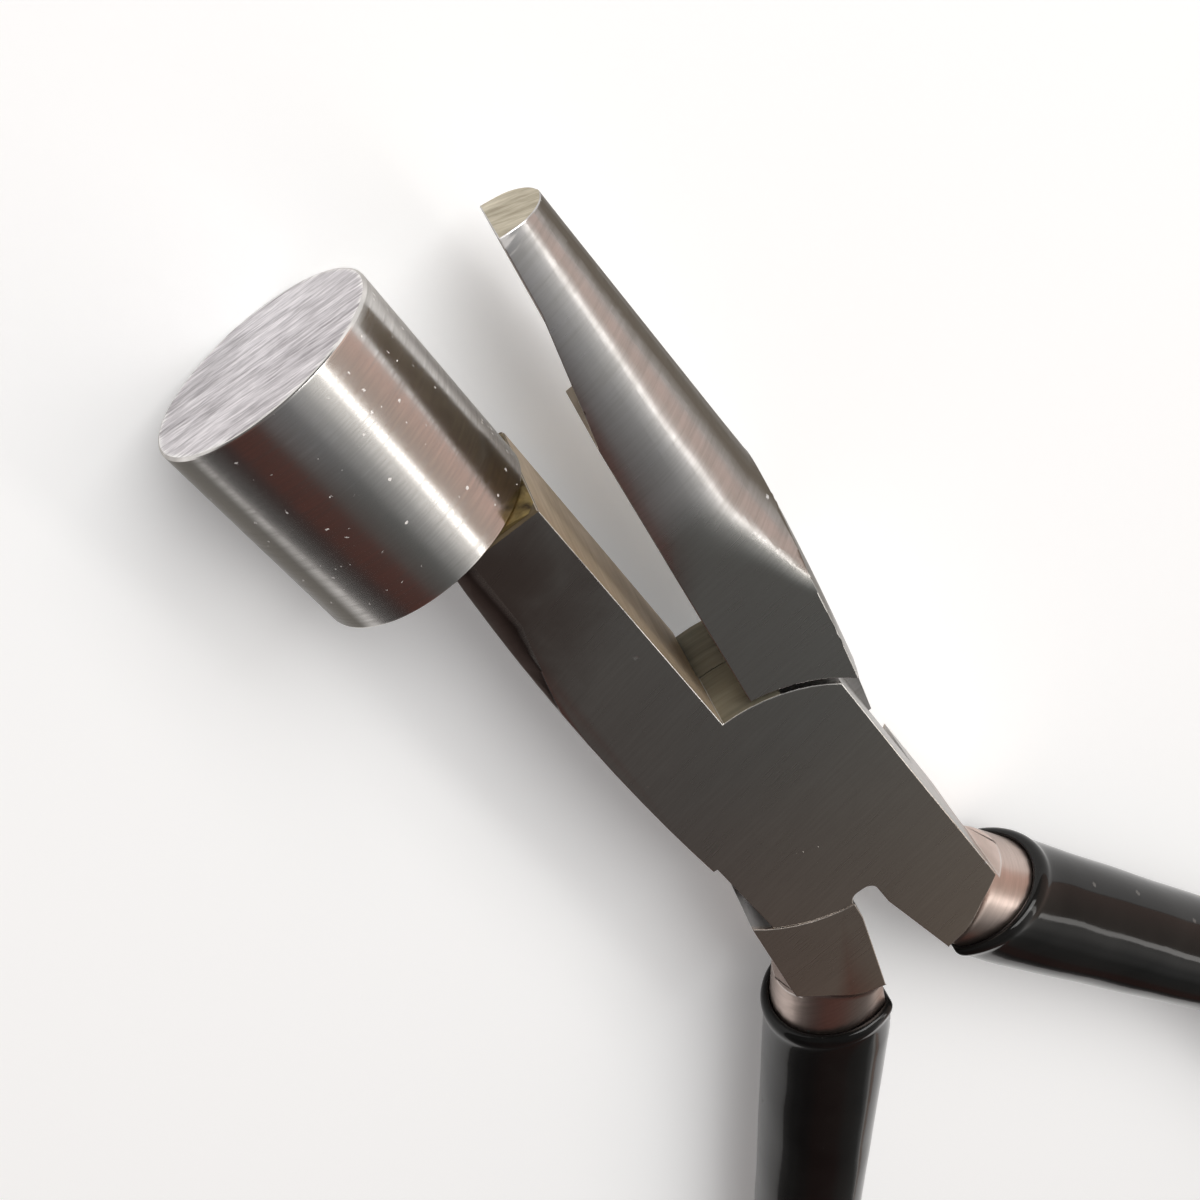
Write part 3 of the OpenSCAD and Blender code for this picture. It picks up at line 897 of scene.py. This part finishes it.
def easeArm(build, wearLayer, turn, side, spec):
    # a wide chamfer at the mandrel's foot, then a narrow one on every other arris
    spin = Matrix.Rotation(turn, 3, "Z")
    middle = layout["middleHeight"]

    def onLedge(vert):
        place = spin @ vert.co
        return (side > 0 and abs(place.y - spec["ledgePlace"]) < spec["ledgeWithin"]
                and abs(place.z - middle) > spec["ledgeHeight"])

    def sharpLimit(edge, place):
        firstFade, lastFade = spec["fadedRange"]
        if side < 0 and place.x > spec["fadedAside"] and firstFade < place.y < lastFade:
            return spec["fadedAbove"]
        blended = all(abs(face.normal.z) > 0.5 for face in edge.link_faces)
        return spec["blendedAbove" if blended else "sharpAbove"]

    wide = [edge for edge in build.edges if edge.calc_face_angle(0.0) > spec["sharpAbove"]
            and all(onLedge(vert) for vert in edge.verts)]
    easeEdges(build, wide, wearLayer, spec["ledgeChamfer"])
    sharp = []
    for edge in build.edges:
        place = (edge.verts[0].co + edge.verts[1].co) / 2
        clearOfRivet = math.hypot(place.x, place.y) > spec["rivetClear"]
        inLap = all(abs(vert.co.z - middle) < spec["lapHeight"] for vert in edge.verts)
        done = all(face[wearLayer] > 0.5 for face in edge.link_faces)
        if clearOfRivet and not inLap and not done:
            if edge.calc_face_angle(0.0) > sharpLimit(edge, spin @ place):
                sharp.append(edge)
    easeEdges(build, sharp, wearLayer, spec["arris"])


def sortArmFace(face, turn, side, spec):
    # 0 ground steel, 1 sawn end, 2 inner face with painted warm reflection, darkened as painted
    # shade on the flat jaw, 3 root of the V between the jaws, 4 chamfered corner beside the
    # mandrel's foot
    spin = Matrix.Rotation(turn, 3, "Z")
    centre = spin @ face.calc_center_median()
    normal = spin @ face.normal
    rootLow, rootHigh = spec["rootRange"]
    shoulderLow, shoulderHigh = spec["shoulderRange"]
    if normal.y > spec["straightUp"] and centre.y > spec["endFrom"]:
        return 1
    if normal.x * side > spec["straightIn"] and centre.y > spec["innerFrom"]:
        if abs(centre.x) < spec["innerWithin"]:
            return 2
    mostlyUp = normal.y > spec["mostlyUp"]
    if mostlyUp and rootLow < centre.y < rootHigh and abs(centre.x) < spec["rootWithin"]:
        return 3
    if mostlyUp and side < 0 and shoulderLow < centre.y < shoulderHigh:
        if centre.x < spec["shoulderWithin"]:
            return 2
    if side > 0 and normal.y > spec["slightlyUp"] and centre.y > spec["ledgeFrom"]:
        return 4
    return 0


def easedCopy(cadName, pieceName, body, materials, turn, side, spec):
    # side is the way the arm's inner face looks: 1 towards +X, -1 towards -X
    build = bmesh.new()
    build.from_mesh(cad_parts[cadName].data)
    wearLayer = build.faces.layers.float.new("edgeWear")
    bmesh.ops.remove_doubles(build, verts=build.verts, dist=spec["mergeWithin"])
    bmesh.ops.dissolve_limit(build, angle_limit=spec["flatWithin"], verts=build.verts,
                             edges=build.edges, use_dissolve_boundaries=False)
    if side < 0:
        blendJaw(build, turn, jawBlendSettings)
    easeArm(build, wearLayer, turn, side, spec)
    build.normal_update()
    spin = Matrix.Rotation(turn, 3, "Z")
    # how far each point looks away from the other jaw, which places the painted dark reflection on
    # the outer sides
    outwardsLayer = build.verts.layers.float.new("outwards")
    for vert in build.verts:
        vert[outwardsLayer] = max(-side * (spin @ vert.normal).x, 0.0)
    for face in build.faces:
        face.material_index = sortArmFace(face, turn, side, faceSettings)
        if face.material_index == 4:
            face[wearLayer] = 0.0
    piece = meshFrom(build, pieceName, materials)
    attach(piece, body)
    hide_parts(cadName)


easedCopy("mandrel_arm", "mandrelArm", "mandrel_side",
          [mandrelArmSteel, sawnTip, paintedWarmInnerFace, paintedWarmJawRoot, ledge], 0.0, 1, armSettings)
easedCopy("flat_jaw_arm", "flatJawArm", "jaw_side",
          [flatJawArmSteel, sawnTip, paintedShadeInnerJaw, paintedWarmJawRoot], layout["restOpen"], -1, armSettings)
print("arms: eased copies of both")


# mandrel, turned about its own axis

mandrelSettings = {
    "centre": (-6.5 * mm, 28.55 * mm, 4.7 * mm),
    "radius": 6.5 * mm,
    "length": 12.8 * mm,
    "arris": 0.15 * mm,
    "arrisSteps": 3,
    "segments": 192,
    "mergeWithin": 0.0005 * mm,
    "paintedDarkMandrelSideFrom": (0.58, 0.72),    # how far out the painted dark reflection begins, as a share of the radius
    "smoothBelow": math.radians(20),
}


def mandrelProfile(spec):
    # half a lengthwise section: distance from the axis, place along it
    radius, length, arris = spec["radius"], spec["length"], spec["arris"]
    angles = [math.pi / 2 * step / spec["arrisSteps"] for step in range(spec["arrisSteps"] + 1)]
    foot = [(radius - arris + arris * math.sin(angle), arris * (1 - math.cos(angle)))
            for angle in angles]
    end = [(radius - arris + arris * math.cos(angle), length - arris + arris * math.sin(angle))
           for angle in angles]
    return [(0.0, 0.0), *foot, *end, (0.0, length)]


def buildMandrel(spec):
    build = bmesh.new()
    wearLayer = build.faces.layers.float.new("edgeWear")
    points = [build.verts.new((away, place, 0)) for away, place in mandrelProfile(spec)]
    edges = [build.edges.new(pair) for pair in zip(points, points[1:])]
    bmesh.ops.spin(build, geom=points + edges, axis=(0, 1, 0), cent=(0, 0, 0),
                   angle=2 * math.pi, steps=spec["segments"], use_merge=True)
    bmesh.ops.remove_doubles(build, verts=build.verts, dist=spec["mergeWithin"])
    bmesh.ops.recalc_face_normals(build, faces=build.faces)
    for face in build.faces:
        centre = face.calc_center_median()
        nearRim = math.hypot(centre.x, centre.z) > spec["radius"] - 2 * spec["arris"]
        lengthwise = abs(face.normal.y)
        face.material_index = 1 if lengthwise > 0.97 else 0
        face[wearLayer] = 1.0 if nearRim and 0.03 < lengthwise < 0.97 else 0.0
    # painted dark reflection, growing towards the mandrel's side away from the jaw
    paintedDarkMandrelSideLayer = build.verts.layers.float.new("paintedDarkMandrelSide")
    for vert in build.verts:
        vert[paintedDarkMandrelSideLayer] = smoothStep(-vert.co.x / spec["radius"], *spec["paintedDarkMandrelSideFrom"])
    bmesh.ops.translate(build, verts=build.verts, vec=spec["centre"])
    piece = meshFrom(build, "turnedMandrel", [turned, sawnEnd], spec["smoothBelow"])
    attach(piece, "mandrel_side")
    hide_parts("mandrel")


buildMandrel(mandrelSettings)

for cadName, material in (("braze_seam", braze), ("pivot_rivet", mandrelArmSteel)):
    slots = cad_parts[cadName].data.materials
    for index in range(len(slots)):
        slots[index] = material
print("mandrel, braze and rivet")


# dipped grips, laid out on the mandrel arm's side and turned over for the other

gripSettings = {
    "collar": (4.6 * mm, -20.7 * mm),
    "splay": math.radians(27),
    "upperLength": 24 * mm,
    "bowRadius": 75 * mm,
    "bowTurn": math.radians(31),
    "lowerLength": 25 * mm,
    "topRadius": 4.75 * mm,
    "middleRadius": 4.33 * mm,
    "endRadius": 4.6 * mm,
    "neckRadius": 4.31 * mm,
    # the rolled rim, in mm: depth below the dip line, and how far it stands off the neck
    "rim": [(1.6, 0.00), (0.7, 0.01), (0.30, 0.02), (0.12, 0.07), (0.03, 0.16), (0.0, 0.28),
            (0.03, 0.42), (0.12, 0.54), (0.28, 0.63), (0.48, 0.66), (0.70, 0.64),
            (0.92, 0.58), (1.12, 0.52), (1.35, 0.48), (1.7, 0.45)],
    "rimWall": 0.45,             # the rim stands this far off where it meets the sleeve
    "dipAside": 6.6 * mm,        # the dip lines are measured here
    "segments": 72,
    "ringSpacing": 1.2 * mm,
    "firstSpacing": 0.72 * mm,
    "domeRings": 12,
    "settle": 14 * mm,           # over this length the rings turn from the dip line to square
    "edgeBend": (1.45 * mm, -18.7 * mm),
    "edgeSlope": 0.217,
    "edgeLength": 40 * mm,       # below this stretch the handle is round again
    "sideWall": 0.32 * mm,
    "blend": 0.5 * mm,
    "wobble": 0.05 * mm,         # unevenness of the dipped skin
    "wobbleScale": 260.0,
    "mergeWithin": 0.002 * mm,
    "smoothBelow": math.radians(50),
}


def handlePoint(distance, spec):
    # centre and heading of the mandrel arm's handle, this far below the middle of its neck
    splay, radius = spec["splay"], spec["bowRadius"]
    start = Vector(spec["collar"])
    heading = Vector((math.sin(splay), -math.cos(splay)))
    if distance <= spec["upperLength"]:
        return start + heading * distance, heading
    start = start + heading * spec["upperLength"]
    distance -= spec["upperLength"]
    centre = start - radius * Vector((math.cos(splay), math.sin(splay)))
    turn = min(distance / radius, spec["bowTurn"])
    angle = splay - turn
    start = centre + radius * Vector((math.cos(angle), math.sin(angle)))
    heading = Vector((math.sin(angle), -math.cos(angle)))
    return start + heading * (distance - turn * radius), heading


def softMax(value, floorValue, blend):
    # the larger of two lengths, with a rounded corner between them
    gap = (value - floorValue) / blend
    if gap > 1:
        return value
    if gap < -1:
        return floorValue
    return floorValue + blend * (gap + 1) ** 2 / 4


def sleeveRadius(distance, last, spec):
    upper, middle = spec["upperLength"], spec["middleRadius"]
    bowEnd = upper + spec["bowTurn"] * spec["bowRadius"]
    if distance < upper:
        return spec["topRadius"] + (middle - spec["topRadius"]) * distance / upper
    if distance < bowEnd:
        return middle
    return middle + (spec["endRadius"] - middle) * (distance - bowEnd) / (last - bowEnd)


def sleeveRings(meet, slant, total, spec):
    # each ring: distance along the handle, radius, wall on the inner side, wobble
    rings = [(meet + depth * mm / slant, spec["neckRadius"] + stand * mm,
              spec["sideWall"] * stand / spec["rimWall"], 0.0) for depth, stand in spec["rim"]]
    distance = rings[-1][0] + spec["firstSpacing"]
    last = total - spec["endRadius"]
    while distance < last:
        rings.append((distance, sleeveRadius(distance, last, spec), spec["sideWall"],
                      spec["wobble"]))
        distance += spec["ringSpacing"]
    for step in range(spec["domeRings"]):
        angle = math.pi / 2 * step / spec["domeRings"]
        rings.append((last + spec["endRadius"] * math.sin(angle),
                      spec["endRadius"] * math.cos(angle), spec["sideWall"], 0.0))
    return rings


def grownRing(build, ring):
    # extrudes a ring of points and gives the new ones in the same order
    inRing = set(ring)
    edges = dict.fromkeys(edge for vert in ring for edge in vert.link_edges
                          if edge.other_vert(vert) in inRing)
    made = bmesh.ops.extrude_edge_only(build, edges=list(edges))
    fresh = {item for item in made["geom"] if isinstance(item, bmesh.types.BMVert)}
    return [next(edge.other_vert(vert) for edge in vert.link_edges
                 if edge.other_vert(vert) in fresh) for vert in ring]


def buildGrip(pieceName, cadName, body, dipY, dipTilt, place, spec):
    total = spec["upperLength"] + spec["bowTurn"] * spec["bowRadius"] + spec["lowerLength"]
    dipNormal = Vector((-math.sin(dipTilt), math.cos(dipTilt)))
    dipPoint = Vector((spec["dipAside"], -dipY))
    splayHeading = Vector((math.sin(spec["splay"]), -math.cos(spec["splay"])))
    slant = splayHeading.dot(dipNormal)
    # distance along the handle at which its centre line meets the dip line
    meet = (dipPoint - Vector(spec["collar"])).dot(dipNormal) / slant

    build = bmesh.new()
    bmesh.ops.create_circle(build, cap_ends=False, segments=spec["segments"], radius=1.0)
    ring = list(build.verts)
    angles = [math.atan2(vert.co.y, vert.co.x) for vert in ring]

    def shape(distance, radius, wall, wobble):
        centre, heading = handlePoint(distance, spec)
        ease = smoothStep(distance - meet, 0.0, spec["settle"])
        facing = (dipNormal * (1 - ease) - heading * ease).normalized()
        sideways = Vector((facing.y, -facing.x))
        reach = radius / abs(sideways.x * heading.y - sideways.y * heading.x)
        for vert, angle in zip(ring, angles):
            flat = centre + sideways * reach * math.cos(angle)
            height = radius * math.sin(angle)
            down = min(spec["edgeBend"][1] - flat.y, spec["edgeLength"])
            edge = spec["edgeBend"][0] + spec["edgeSlope"] * down
            vert.co = Vector((softMax(flat.x, edge - wall, spec["blend"]), flat.y, height))
            if wobble:
                push = noise.noise(vert.co * spec["wobbleScale"]) * wobble
                outwards = Vector((vert.co.x - centre.x, vert.co.y - centre.y, height))
                vert.co += outwards.normalized() * push

    rings = sleeveRings(meet, abs(slant), total, spec)
    shape(*rings[0])
    for distance, radius, wall, wobble in rings[1:]:
        ring = grownRing(build, ring)
        shape(distance, radius, wall, wobble)
    tip, _ = handlePoint(total, spec)
    for vert in grownRing(build, ring):
        vert.co = Vector((tip.x, tip.y, 0))
    bmesh.ops.remove_doubles(build, verts=build.verts, dist=spec["mergeWithin"])
    bmesh.ops.recalc_face_normals(build, faces=build.faces)
    bmesh.ops.transform(build, matrix=place, verts=build.verts)
    piece = meshFrom(build, pieceName, [vinyl], spec["smoothBelow"])
    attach(piece, body)
    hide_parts(cadName)


lift = Matrix.Translation((0, 0, layout["middleHeight"]))
turnedOver = lift @ Matrix.Rotation(-layout["restOpen"], 4, "Z") @ Matrix.Rotation(math.pi, 4, "Y")
buildGrip("mandrelArmGrip", "mandrel_arm_grip", "mandrel_side", 20.6 * mm, 0.0, lift,
          gripSettings)
buildGrip("flatJawArmGrip", "flat_jaw_arm_grip", "jaw_side", 21.2 * mm, math.radians(10),
          turnedOver, gripSettings)
print("grips: two dipped sleeves")
